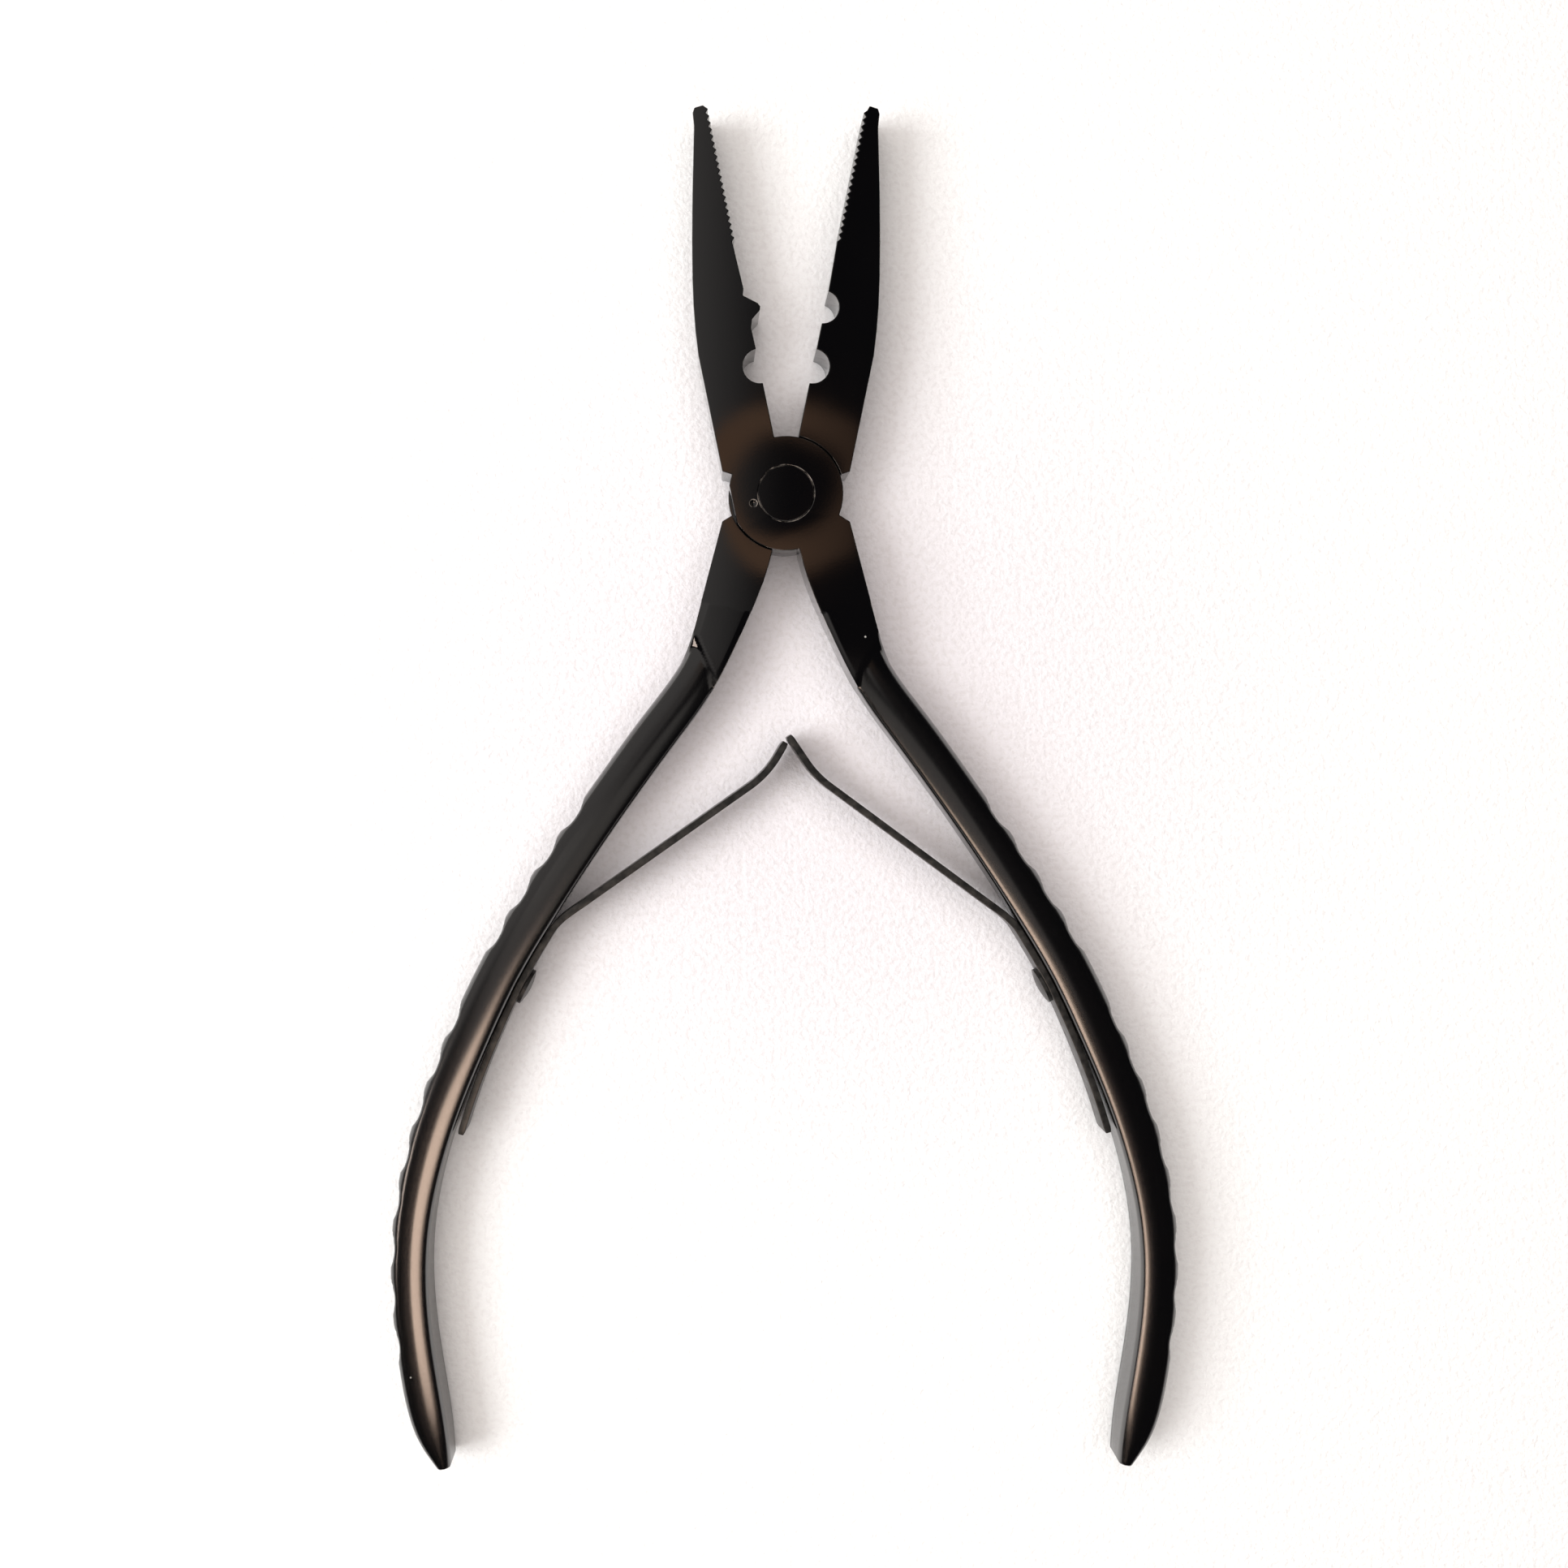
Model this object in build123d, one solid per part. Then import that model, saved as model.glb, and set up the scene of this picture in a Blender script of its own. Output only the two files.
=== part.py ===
from build123d import *
import math
import os

# Spring-return pliers with a riveted lap joint, millimetres, lying flat with +Z up.
# The pivot axis is the Z axis, the underside is z = 0 and the jaw tips point along +Y.
# Each half is drawn closed, with its centre line on x = 0, and then turned about the pivot
# by half of the open angle.

# Whole tool
THICKNESS = 7.0
MID = THICKNESS / 2
HALF_OPEN = 11.65  # degrees that each half stands open at rest
MATING_GAP = 0.06  # from the centre line to each jaw's mating face

# Lap joint and pivot rivet
LAP_RADIUS = 6.5
LAP_FLAT_X = -6.14  # the upper lap is ground flat on its jaw side
LAP_FLAT_Y = -0.6  # middle of that flat
LAP_FLAT_LENGTH = 6.4
LAP_CORE_RADIUS = 5.5  # cleared of jaw and neck before the lap plate is joined on
LAP_CLEARANCE = 0.12
LAP_FACE_GAP = 0.02  # from the middle plane to each lap face
RIVET_SHANK_RADIUS = 2.5
RIVET_HEAD_RADIUS = 3.22
RIVET_HEAD_DEPTH = 0.8
RIVET_RUNNING_GAP = 0.05
SEAM_CHAMFER = 0.1
DIMPLE_PLACE = (-3.87, -0.38)
DIMPLE_RADIUS = 0.5
DIMPLE_DEPTH = 0.35
DIMPLE_TIP_RADIUS = 0.05

# Jaws
JAW_WIDTH = 6.6
JAW_ROOT_Y = 1.0  # the jaw's foot, inside the lap plate
JAW_SHOULDER_Y = 3.85
JAW_SHOULDER_INNER = (5.6, 3.3)
JAW_TAPER = [(6.6, 17.2), (5.95, 23.2), (4.8, 29.5), (2.95, 38.0), (1.85, 42.7)]
JAW_TIP = [(1.7, 44.2), (1.4, 44.75), (0.4, 44.85)]
CRIMP_HOLE_Y = 14.7
CRIMP_HOLE_RADIUS = 1.95
NOSE = [(-0.1, 19.1), (0.2, 20.05), (1.25, 20.85), (1.4, 21.3), (1.2, 21.7), (-0.3, 22.9)]
NOSE_END_Y = 23.6  # where the nose meets the mating face again
NOTCH_CENTRE = (-0.2, 21.5)
NOTCH_RADIUS = 1.85
TOOTH_START_Y = 29.1
TOOTH_PITCH = 0.78
TOOTH_DEPTH = 0.36
TOOTH_HALF_STEPS = 39

# Neck, the flat stretch between the lap joint and the grip
NECK_ROOT = (0.2, 0)  # inside the lap plate
NECK_SHOULDER = [(5.4, -3.6), (6.45, -4.6)]
NECK_OUTER_END = (7.15, -17.5)
NECK_INNER = [(0.2, -6.4), (0.45, -10.0), (1.15, -14.0), (2.15, -18.3), (3.3, -22.7)]
NECK_RUNOUT = [(4.3, -24.7), (7.9, -22.2), (7.3, -19.4)]  # the neck's end, inside the grip
NECK_FACET_ANGLE = 38.0  # slope of the facet where the flat neck runs out into the grip

GRIP_DEPTH = 3.49  # from the middle plane to the crown's ridge

# Grip stations from neck to end: inner edge point, outer edge point, half depth along Z
GRIP_STATIONS = [
    ((1.85, -16.6), (6.98, -16.2), 3.4),
    ((3.40, -22.8), (7.75, -20.9), GRIP_DEPTH),
    ((6.30, -29.7), (10.75, -27.7), GRIP_DEPTH),
    ((9.55, -36.8), (14.00, -34.85), GRIP_DEPTH),
    ((12.90, -44.6), (17.45, -42.85), GRIP_DEPTH),
    ((15.90, -52.2), (20.45, -50.45), GRIP_DEPTH),
    ((18.60, -60.0), (23.20, -58.6), GRIP_DEPTH),
    ((20.50, -67.8), (25.25, -66.85), GRIP_DEPTH),
    ((21.90, -75.0), (26.65, -74.4), GRIP_DEPTH),
    ((22.75, -82.5), (27.40, -82.3), GRIP_DEPTH),
    ((22.70, -90.0), (27.10, -90.3), GRIP_DEPTH),
    ((21.50, -97.0), (25.70, -97.95), GRIP_DEPTH),
    ((19.55, -103.3), (23.60, -104.7), GRIP_DEPTH),
    ((17.50, -108.7), (21.40, -110.3), 3.45),
    ((15.90, -113.1), (18.90, -114.3), 3.3),
    ((15.00, -116.05), (16.45, -116.6), 3.0),
]
CROWN_RIDGE = 0.42  # where the top of the crown lies, as a share of the width
CROWN_DROP = 0.55  # how far the crown falls to the inner edge
CROWN_CHAMFER = 0.25
CROWN_RISE = (0.4, 0.72)  # shares of the way in to the ridge, and of the drop, at mid crown
NOSE_EXPONENT = 2.3  # superellipse exponent of the bull-nosed outer side
SECTION_STEPS = 5

# Finger scallops on the outer edge
SCALLOP_RADIUS = 5.0
SCALLOP_DEPTH = 0.6
SCALLOP_PITCH = 5.42
SCALLOP_START = 26.3  # along the outer edge from the neck to the first valley
SCALLOP_PLAIN = 4  # the hump at the spring rivet takes no scallop
SCALLOP_COUNT = 13

# Leaf springs
SPRING_THICKNESS = 0.8
SPRING_WIDTH = 4.4
SPRING_SEAT_GAP = 0.07
SPRING_FOOT_GAP = 0.5
SPRING_FOOT_LENGTH = 0.9
SPRING_BEND_RADIUS = 11.0
LEG_START = 0.375  # the leg's two ends, as shares of the grip's inner edge
LEG_END = 0.622
LEG_STEPS = 6
# Hinge, bend and tip of each arm's middle line, with the pliers open
LEFT_ARM = [(-25.66, -48.42), (-2.1, -31.85), (0.02, -28.23)]
RIGHT_ARM = [(25.66, -48.42), (3.48, -32.06), (0.386, -27.5)]

# Spring rivets
SPRING_RIVET_AT = 0.455  # share of the grip's inner edge
SPRING_RIVET_RADIUS = 1.2
SPRING_RIVET_HEAD_RADIUS = 2.1
SPRING_RIVET_HEAD_HEIGHT = 0.75
SPRING_RIVET_DOME = 0.35
SPRING_RIVET_LENGTH = 4.72  # from the grip's inner face to the dressed end
SPRING_RIVET_DRESSED = 0.25  # how far the dressed end is domed
SPRING_RIVET_SEAT_GAP = 0.06
SPRING_HOLE_CLEARANCE = 0.03
SPRING_HOLE_LENGTH = 20  # long enough to pass through the whole grip


def extruded(lines, low=0.0, high=THICKNESS):
    """A closed outline in XY made solid from z = low to z = high."""
    return Pos(0, 0, low) * extrude(make_face(lines), amount=high - low)


def disc(radius, low, high):
    """A round plate about the pivot axis."""
    return Pos(0, 0, (low + high) / 2) * Cylinder(radius, high - low)


def tooth_points(side):
    """The zigzag of one jaw's teeth. Both jaws share it, so that they mesh when closed."""
    points = []
    for step in range(TOOTH_HALF_STEPS + 1):
        swing = TOOTH_DEPTH / 2 * (1 if step % 2 else -1)
        points.append((side * MATING_GAP + swing, TOOTH_START_Y + step * TOOTH_PITCH / 2))
    return points


def jaw_outline(side, feature):
    """The closed outline of one jaw. side is -1 on the left and 1 on the right.
    feature is the list of lines that stands for the crimp nose or notch."""
    face_x = side * MATING_GAP
    hole_rise = math.sqrt(CRIMP_HOLE_RADIUS**2 - MATING_GAP**2)
    hole_low = (face_x, CRIMP_HOLE_Y - hole_rise)
    hole_high = (face_x, CRIMP_HOLE_Y + hole_rise)
    teeth = tooth_points(side)
    taper = [(side * x, y) for x, y in JAW_TAPER]
    tip = [(side * x, y) for x, y in JAW_TIP]
    shoulder = (side * JAW_SHOULDER_INNER[0], JAW_SHOULDER_INNER[1])
    root = (face_x, JAW_ROOT_Y)
    return [
        Line(root, hole_low),
        ThreePointArc(hole_low, (side * CRIMP_HOLE_RADIUS, CRIMP_HOLE_Y), hole_high),
        Line(hole_high, feature[0] @ 0),
        *feature,
        Polyline(feature[-1] @ 1, *teeth),
        Polyline(teeth[-1], *reversed(tip), taper[-1]),
        Spline(*reversed(taper)),
        Polyline(taper[0], (side * JAW_WIDTH, JAW_SHOULDER_Y), shoulder, root),
    ]


def nose_lines():
    """The blunt crimp nose on the left jaw's mating face."""
    return [Polyline(*NOSE, (-MATING_GAP, NOSE_END_Y))]


def notch_lines():
    """The round notch in the right jaw that takes the nose."""
    offset = MATING_GAP - NOTCH_CENTRE[0]
    rise = math.sqrt(NOTCH_RADIUS**2 - offset**2)
    low = (MATING_GAP, NOTCH_CENTRE[1] - rise)
    high = (MATING_GAP, NOTCH_CENTRE[1] + rise)
    return [ThreePointArc(low, (NOTCH_CENTRE[0] + NOTCH_RADIUS, NOTCH_CENTRE[1]), high)]


def neck_block():
    """The flat neck of the right handle, run out at a slanted facet above and below."""
    outer_end = Vector(*NECK_OUTER_END)
    inner_end = Vector(*NECK_INNER[-1])
    across = (inner_end - outer_end).normalized()
    onward = Vector(-across.Y, across.X)
    block = extruded([
        Line(NECK_ROOT, NECK_INNER[0]),
        Spline(*NECK_INNER),
        Polyline(NECK_INNER[-1], *NECK_RUNOUT, NECK_OUTER_END, *reversed(NECK_SHOULDER), NECK_ROOT),
    ])
    slope = math.radians(NECK_FACET_ANGLE)
    lean = onward * math.sin(slope)
    for height, up in ((THICKNESS, 1), (0, -1)):
        normal = Vector(lean.X, lean.Y, up * math.cos(slope))
        facet = Plane(origin=(outer_end.X, outer_end.Y, height), x_dir=across, z_dir=normal)
        block = split(block, bisect_by=facet, keep=Keep.BOTTOM)
    return block


def grip_section(inner, outer, half_depth):
    """A D-shaped section: flat inner face, small chamfers, a crowned top and bottom,
    and a bull-nosed outer side."""
    across = Vector(*outer) - Vector(*inner)
    width = across.length
    plane = Plane(origin=(*inner, MID), x_dir=across, z_dir=across.cross(Vector(0, 0, 1)))
    ridge = CROWN_RIDGE * width
    edge = half_depth - CROWN_DROP
    upper = []
    for step in range(1, SECTION_STEPS):
        turn = math.radians(90 * step / SECTION_STEPS)
        upper.append((
            ridge + (width - ridge) * math.sin(turn) ** (2 / NOSE_EXPONENT),
            half_depth * math.cos(turn) ** (2 / NOSE_EXPONENT),
        ))
    start = (CROWN_CHAMFER, edge)
    rise = (CROWN_CHAMFER + CROWN_RISE[0] * (ridge - CROWN_CHAMFER), edge + CROWN_RISE[1] * CROWN_DROP)
    crown = [start, rise, (ridge, half_depth), *upper]
    below = [(x, -z) for x, z in reversed(crown)]
    low_edge = (0, -edge + CROWN_CHAMFER)
    high_edge = (0, edge - CROWN_CHAMFER)
    lines = [
        Line(low_edge, high_edge),
        Line(high_edge, start),
        Spline(*crown, (width, 0), *below),
        Line(below[-1], low_edge),
    ]
    return plane * make_face(lines)


def inner_edge():
    """The line along the grip's inner face, from neck to end."""
    return Spline(*[inner for inner, outer, depth in GRIP_STATIONS])


def outer_edge():
    """The line along the crests of the grip's outer side, from neck to end."""
    return Spline(*[outer for inner, outer, depth in GRIP_STATIONS])


def scallop_cuts():
    """Upright cylinders that cut the finger scallops into the outer edge."""
    edge = outer_edge()
    cuts = []
    for number in range(SCALLOP_COUNT):
        if number == SCALLOP_PLAIN:
            continue
        share = (SCALLOP_START + number * SCALLOP_PITCH) / edge.length
        tangent = edge % share
        outward = Vector(-tangent.Y, tangent.X)
        centre = edge @ share + outward * (SCALLOP_RADIUS - SCALLOP_DEPTH)
        cuts.append(Pos(centre.X, centre.Y, MID) * Cylinder(SCALLOP_RADIUS, 2 * THICKNESS))
    return cuts


def rivet_frame():
    """The plane of the spring rivet: on the grip's inner face, Z into the handle."""
    edge = inner_edge()
    tangent = edge % SPRING_RIVET_AT
    place = edge @ SPRING_RIVET_AT
    return Plane(origin=(place.X, place.Y, MID), x_dir=tangent, z_dir=Vector(-tangent.Y, tangent.X))


def grip_blank():
    """The whole grip before the rivet hole is drilled."""
    grip = loft([grip_section(*station) for station in GRIP_STATIONS])
    for cut in scallop_cuts():
        grip -= cut
    return grip


def dome_arc(radius, rim, crown):
    """The arc of a shallow dome's profile, from its rim to the point on the axis."""
    rise = crown - rim
    curve = (radius**2 + rise**2) / (2 * rise)
    middle = crown - curve + math.copysign(math.sqrt(curve**2 - radius**2 / 4), curve)
    return ThreePointArc((radius, rim), (radius / 2, middle), (0, crown))


def spring_rivet():
    """A pan-headed rivet through the spring and the grip, dressed flush with the grip outside."""
    radius = SPRING_RIVET_RADIUS
    head_radius = SPRING_RIVET_HEAD_RADIUS
    seat = -(SPRING_SEAT_GAP + SPRING_THICKNESS + SPRING_RIVET_SEAT_GAP)
    top = seat - SPRING_RIVET_HEAD_HEIGHT
    rim = top + SPRING_RIVET_DOME
    end = SPRING_RIVET_LENGTH
    shoulder = end - SPRING_RIVET_DRESSED
    profile = make_face([
        Line((0, top), (0, end)),
        dome_arc(radius, shoulder, end),
        Polyline((radius, shoulder), (radius, seat), (head_radius, seat), (head_radius, rim)),
        dome_arc(head_radius, rim, top),
    ])
    return rivet_frame() * revolve(Plane.XZ * profile, axis=Axis.Z)


def spring_rivet_hole(clearance=0.0):
    """The cutter for the spring rivet's hole."""
    return rivet_frame() * Cylinder(SPRING_RIVET_RADIUS + clearance, SPRING_HOLE_LENGTH)


def half_body(side, jaw, grip, low, high, other_low, other_high):
    """One forging in its closed place: a jaw on side, a lap plate, and the handle opposite."""
    neck = neck_block() - spring_rivet_hole()
    handle = neck + (grip - spring_rivet_hole())
    if side > 0:
        handle = mirror(handle, Plane.YZ)
    body = jaw + handle
    body -= disc(LAP_RADIUS + LAP_CLEARANCE, other_low, other_high)
    body -= disc(LAP_CORE_RADIUS, low, high)
    return body + disc(LAP_RADIUS, low, high)


def pivot_rivet():
    """The flush pivot rivet, countersunk on both faces."""
    head_end = RIVET_HEAD_DEPTH
    profile = make_face([
        Polyline(
            (0, 0), (RIVET_HEAD_RADIUS - SEAM_CHAMFER, 0), (RIVET_HEAD_RADIUS, SEAM_CHAMFER),
            (RIVET_SHANK_RADIUS, head_end), (RIVET_SHANK_RADIUS, THICKNESS - head_end),
            (RIVET_HEAD_RADIUS, THICKNESS - SEAM_CHAMFER),
            (RIVET_HEAD_RADIUS - SEAM_CHAMFER, THICKNESS), (0, THICKNESS), (0, 0),
        )
    ])
    return revolve(Plane.XZ * profile, axis=Axis.Z)


def rivet_seat(gap):
    """The cutter for the pivot rivet's hole, with its countersinks and seam chamfers."""
    shank = RIVET_SHANK_RADIUS + gap
    head = RIVET_HEAD_RADIUS + gap
    head_end = RIVET_HEAD_DEPTH
    profile = make_face([
        Polyline(
            (0, 0), (head + SEAM_CHAMFER, 0), (head, SEAM_CHAMFER), (shank, head_end),
            (shank, THICKNESS - head_end), (head, THICKNESS - SEAM_CHAMFER),
            (head + SEAM_CHAMFER, THICKNESS), (0, THICKNESS), (0, 0),
        )
    ])
    return revolve(Plane.XZ * profile, axis=Axis.Z)


def punch_dimple():
    """The staking punch's dimple beside the rivet, as a cutter."""
    x, y = DIMPLE_PLACE
    return Pos(x, y, THICKNESS - DIMPLE_DEPTH / 2) * Cone(DIMPLE_TIP_RADIUS, DIMPLE_RADIUS, DIMPLE_DEPTH)


def upper_half(grip):
    """Left jaw, upper lap plate and right handle."""
    jaw = extruded(jaw_outline(-1, nose_lines()))
    body = half_body(-1, jaw, grip, MID + LAP_FACE_GAP, THICKNESS, 0, MID + LAP_FACE_GAP)
    block = LAP_RADIUS
    body -= Pos(LAP_FLAT_X - block / 2, LAP_FLAT_Y, THICKNESS) * Box(block, LAP_FLAT_LENGTH, THICKNESS)
    body -= rivet_seat(0.0)
    return body - punch_dimple()


def lower_half(grip):
    """Right jaw, lower lap plate and left handle."""
    jaw = extruded(jaw_outline(1, notch_lines()))
    body = half_body(1, jaw, grip, 0, MID - LAP_FACE_GAP, MID - LAP_FACE_GAP, THICKNESS)
    return body - rivet_seat(RIVET_RUNNING_GAP)


def spring_leg():
    """The stretch of leaf spring that lies along the right grip, with its small foot."""
    edge = inner_edge()
    near = []
    far = []
    for step in range(LEG_STEPS + 1):
        share = LEG_START + (LEG_END - LEG_START) * step / LEG_STEPS
        past_rivet = max(0.0, (share - SPRING_RIVET_AT) / (LEG_END - SPRING_RIVET_AT))
        gap = SPRING_SEAT_GAP + (SPRING_FOOT_GAP - SPRING_SEAT_GAP) * past_rivet**2
        tangent = edge % share
        inward = Vector(tangent.Y, -tangent.X)
        near.append(edge @ share + inward * gap)
        far.append(edge @ share + inward * (gap + SPRING_THICKNESS))
    foot_along = (edge % LEG_END) * SPRING_FOOT_LENGTH
    foot_out = (near[-1] - far[-1]).normalized() * (SPRING_FOOT_GAP - SPRING_SEAT_GAP)
    outline = [
        Spline(*near),
        Polyline(near[-1], near[-1] + foot_out, near[-1] + foot_out + foot_along,
                 far[-1] + foot_along, far[-1]),
        Spline(*reversed(far)),
        Line(far[0], near[0]),
    ]
    leg = extruded(outline, MID - SPRING_WIDTH / 2, MID + SPRING_WIDTH / 2)
    return leg - spring_rivet_hole(SPRING_HOLE_CLEARANCE)


def spring_arm(points):
    """The free stretch of a leaf spring: round at the hinge, one gentle bend, a square tip."""
    hinge, bend, tip = [Vector(*point) for point in points]
    first = (bend - hinge).normalized()
    last = (tip - bend).normalized()
    half = SPRING_THICKNESS / 2
    sides = []
    turning = 1 if first.cross(last).Z > 0 else -1
    for hand in (1, -1):
        start_off = Vector(-first.Y, first.X) * hand * half
        end_off = Vector(-last.Y, last.X) * hand * half
        miter = (start_off + end_off) / (1 + first.dot(last))
        radius = SPRING_BEND_RADIUS - hand * turning * half
        corners = [hinge + start_off, bend + miter, tip + end_off]
        sides.append(FilletPolyline(*corners, radius=radius))
    round_end = ThreePointArc(sides[1] @ 0, hinge - first * half, sides[0] @ 0)
    outline = [sides[0], Line(sides[0] @ 1, sides[1] @ 1), sides[1], round_end]
    return extruded(outline, MID - SPRING_WIDTH / 2, MID + SPRING_WIDTH / 2)


def opened(shape, side):
    """Turn a closed shape to its open place: side 1 is the upper half, -1 the lower."""
    return Rot(0, 0, side * HALF_OPEN) * shape


def build_parts():
    """Every node of the pliers, by name, in the open rest pose."""
    grip = grip_blank()
    leg = spring_leg()
    rivet = spring_rivet()
    return {
        "upper_half": opened(upper_half(grip), 1),
        "lower_half": opened(lower_half(grip), -1),
        "pivot_rivet": opened(pivot_rivet(), 1),
        "right_spring_leg": opened(leg, 1),
        "left_spring_leg": opened(mirror(leg, Plane.YZ), -1),
        "right_spring_arm": spring_arm(RIGHT_ARM),
        "left_spring_arm": spring_arm(LEFT_ARM),
        "right_spring_rivet": opened(rivet, 1),
        "left_spring_rivet": opened(mirror(rivet, Plane.YZ), -1),
    }


if __name__ == "__main__":
    os.makedirs("parts", exist_ok=True)
    for name, shape in build_parts().items():
        export_step(shape, f"parts/{name}.step")
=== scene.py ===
import math
import bmesh
import bpy
import numpy as np
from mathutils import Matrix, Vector


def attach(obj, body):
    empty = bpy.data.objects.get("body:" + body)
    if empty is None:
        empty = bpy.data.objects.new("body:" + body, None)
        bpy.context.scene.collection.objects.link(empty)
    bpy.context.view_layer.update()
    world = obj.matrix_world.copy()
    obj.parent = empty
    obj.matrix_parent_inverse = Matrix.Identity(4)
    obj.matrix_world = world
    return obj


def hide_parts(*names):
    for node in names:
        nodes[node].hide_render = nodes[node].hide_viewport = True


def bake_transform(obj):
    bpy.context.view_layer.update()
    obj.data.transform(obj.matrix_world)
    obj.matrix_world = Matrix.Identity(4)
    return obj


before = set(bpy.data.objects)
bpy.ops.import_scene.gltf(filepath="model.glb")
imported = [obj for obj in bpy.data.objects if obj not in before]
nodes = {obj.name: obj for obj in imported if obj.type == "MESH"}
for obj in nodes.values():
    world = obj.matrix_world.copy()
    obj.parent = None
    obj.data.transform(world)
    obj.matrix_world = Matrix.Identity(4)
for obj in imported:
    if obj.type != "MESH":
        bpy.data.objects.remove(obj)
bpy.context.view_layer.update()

# Spring-return pliers lying flat, +Z up, pivot on the Z axis, jaw tips along +Y.
# Shapes below are in millimetres in the closed place of a half, with its handle on the right,
# and place() turns them to the open rest pose and scales them to metres.

MM = 0.001
THICKNESS = 7.0
MID = THICKNESS / 2
HALF_OPEN = math.radians(11.65)

# The flat stretch of each half keeps the CAD mesh as far as this line across the neck
NECK_CUT_Y = -14.0
CUT_SLIT = 0.08
MERGE_DISTANCE = 0.002
FLAT_ANGLE = 0.6  # degrees: CAD faces that turn less than this become one
ROUNDED_ANGLE = 30  # degrees: edges sharper than this are rounded
EDGE_ROUND = 0.09
PIVOT_KEEP_RADIUS = 3.5  # edges this near the pivot axis are already chamfered
DIMPLE_PLACE = (-3.87, -0.38)
DIMPLE_OPEN = (-3.713, -1.154)  # the same dimple in the open pose
DIMPLE_KEEP_RADIUS = 0.7

# Handle stations from neck to end: inner edge, outer edge, half depth along Z
STATIONS = [
    ((1.15, -14.0), (6.96, -14.0), 3.30),
    ((2.15, -18.3), (7.17, -17.6), 3.34),
    ((3.40, -22.8), (7.75, -20.9), 3.46),
    ((6.30, -29.7), (10.75, -27.7), 3.49),
    ((9.55, -36.8), (14.00, -34.85), 3.49),
    ((12.90, -44.6), (17.45, -42.85), 3.49),
    ((15.90, -52.2), (20.45, -50.45), 3.49),
    ((18.60, -60.0), (23.20, -58.6), 3.49),
    ((20.50, -67.8), (25.25, -66.85), 3.49),
    ((21.90, -75.0), (26.65, -74.4), 3.49),
    ((22.75, -82.5), (27.40, -82.3), 3.49),
    ((22.70, -90.0), (27.10, -90.3), 3.49),
    ((21.50, -97.0), (25.70, -97.95), 3.49),
    ((19.55, -103.3), (23.60, -104.7), 3.49),
    ((17.50, -108.7), (21.40, -110.3), 3.45),
    ((15.90, -113.1), (18.90, -114.3), 3.30),
    ((15.00, -116.05), (16.45, -116.6), 3.00),
]
RING_SPACING = 0.25
CROWN_RIDGE = 0.42
CROWN_DROP = 0.55
NOSE_EXPONENT = 4.5
NOSE_CORNER = 0.5  # where the nose starts, as a share of the half depth
CROWN_EXPONENT = 1.5
CORNER_SOFTNESS = 0.12
END_ROUND = 0.2
END_SHRINK = 0.8
END_TURNS = (15, 30, 45, 60, 75, 90)  # degrees round the handle's end
FACET_START = (7.15, -17.5)
FACET_END = (3.3, -22.7)
FACET_SLOPE = math.tan(math.radians(28))
SIDE_STEPS = (8, 16, 14, 16)  # points on the inner face, crown, nose and crown below
HALVINGS = 30  # rounds of halving that find the crown's surface
FINE_POINTS = 4000  # samples of an edge that is searched for a place along it
HALF_SHARP_ANGLE = 40

SCALLOP_RADIUS = 5.0
SCALLOP_DEPTH = 0.6
SCALLOP_PITCH = 5.42
SCALLOP_FIRST_Y = -40.56
SCALLOP_PLAIN = 4
SCALLOP_COUNT = 13

# Leaf springs
SPRING_THICKNESS = 0.8
SPRING_WIDTH = 4.4
SPRING_SEAT_GAP = 0.07
SPRING_FOOT_GAP = 0.5
SPRING_FOOT_LENGTH = 0.9
SPRING_CORNER = 0.12
SPRING_BEND_RADIUS = 11.0
SPRING_BEND_STEPS = 16
SPRING_RIVET_Y = -60.8
SPRING_RING_SPACING = 0.3
SPRING_END_TRIM = [0.1, 0.03]  # how far the last rings at each end draw in
SPRING_SHARP_ANGLE = 50
LEG_START_Y = -53.6
LEG_END_Y = -77.86
LEG_POINTS = 60
LEG_THINNING = 6  # the smooth line goes through every sixth of them
ARMS = {
    "left": [(-25.66, -48.42), (-2.1, -31.85), (0.02, -28.23)],
    "right": [(25.66, -48.42), (3.48, -32.06), (0.386, -27.5)],
}
# First share, last share and number of points along an arm's two straight runs
ARM_RUN_IN = (0.12, 1, 40)
ARM_RUN_OUT = (0.2, 1, 6)

# Surfaces. Texture scales are per metre
NOISE_RANGE = (0.3, 0.7)  # nearly all of a noise texture's values
COAT_COLOURS = ((0.0007, 0.0007, 0.0008), (0.0018, 0.0015, 0.0013))
COAT_WORN = (0.16, 0.14, 0.12)
# Painted highlight: the colour of the bright rings at the pivot seam and the dimple rim
COAT_RIM_GLINT = (0.21, 0.18, 0.155)
COAT_IOR = 2.0
COAT_CLOUD_SCALE = 110
COAT_GRAIN_SCALE = 5200
FLAT_ROUGHNESS = (0.03, 0.05)
HANDLE_ROUGHNESS = (0.17, 0.26)
SATIN_STARTS = (-0.016, -0.022)  # glossy above the first Y in metres, satin below the second
SEAM_RADIUS = 3.25
DIMPLE_RIM_RADIUS = 0.45
# Painted highlight rings: their half width, the scale of their breaks and the share left bright
RIM_GLINT_WIDTH = 0.055
RIM_GLINT_PATCH_SCALE = 900
RIM_GLINT_PATCHES = (0.44, 0.66)
WEAR_REACH = 0.00013
WEAR_TURN = (0.985, 0.90)  # cosines of the turn where wear starts and where it is full
WEAR_PATCH_SCALE = 420
WEAR_PATCHES = (0.46, 0.62)
DUST_COLOUR = (0.5, 0.48, 0.45)
DUST_SCALE = 330
DUST_EDGE = (0.055, 0.03)
DUST_RARITY = 0.86
STRIP_COLOURS = ((0.014, 0.0135, 0.013), (0.045, 0.041, 0.037))
STRIP_WORN = (0.10, 0.085, 0.07)
STRIP_CLOUD_SCALE = 900
STRIP_CLOUDS = (0.4, 0.68)
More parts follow.
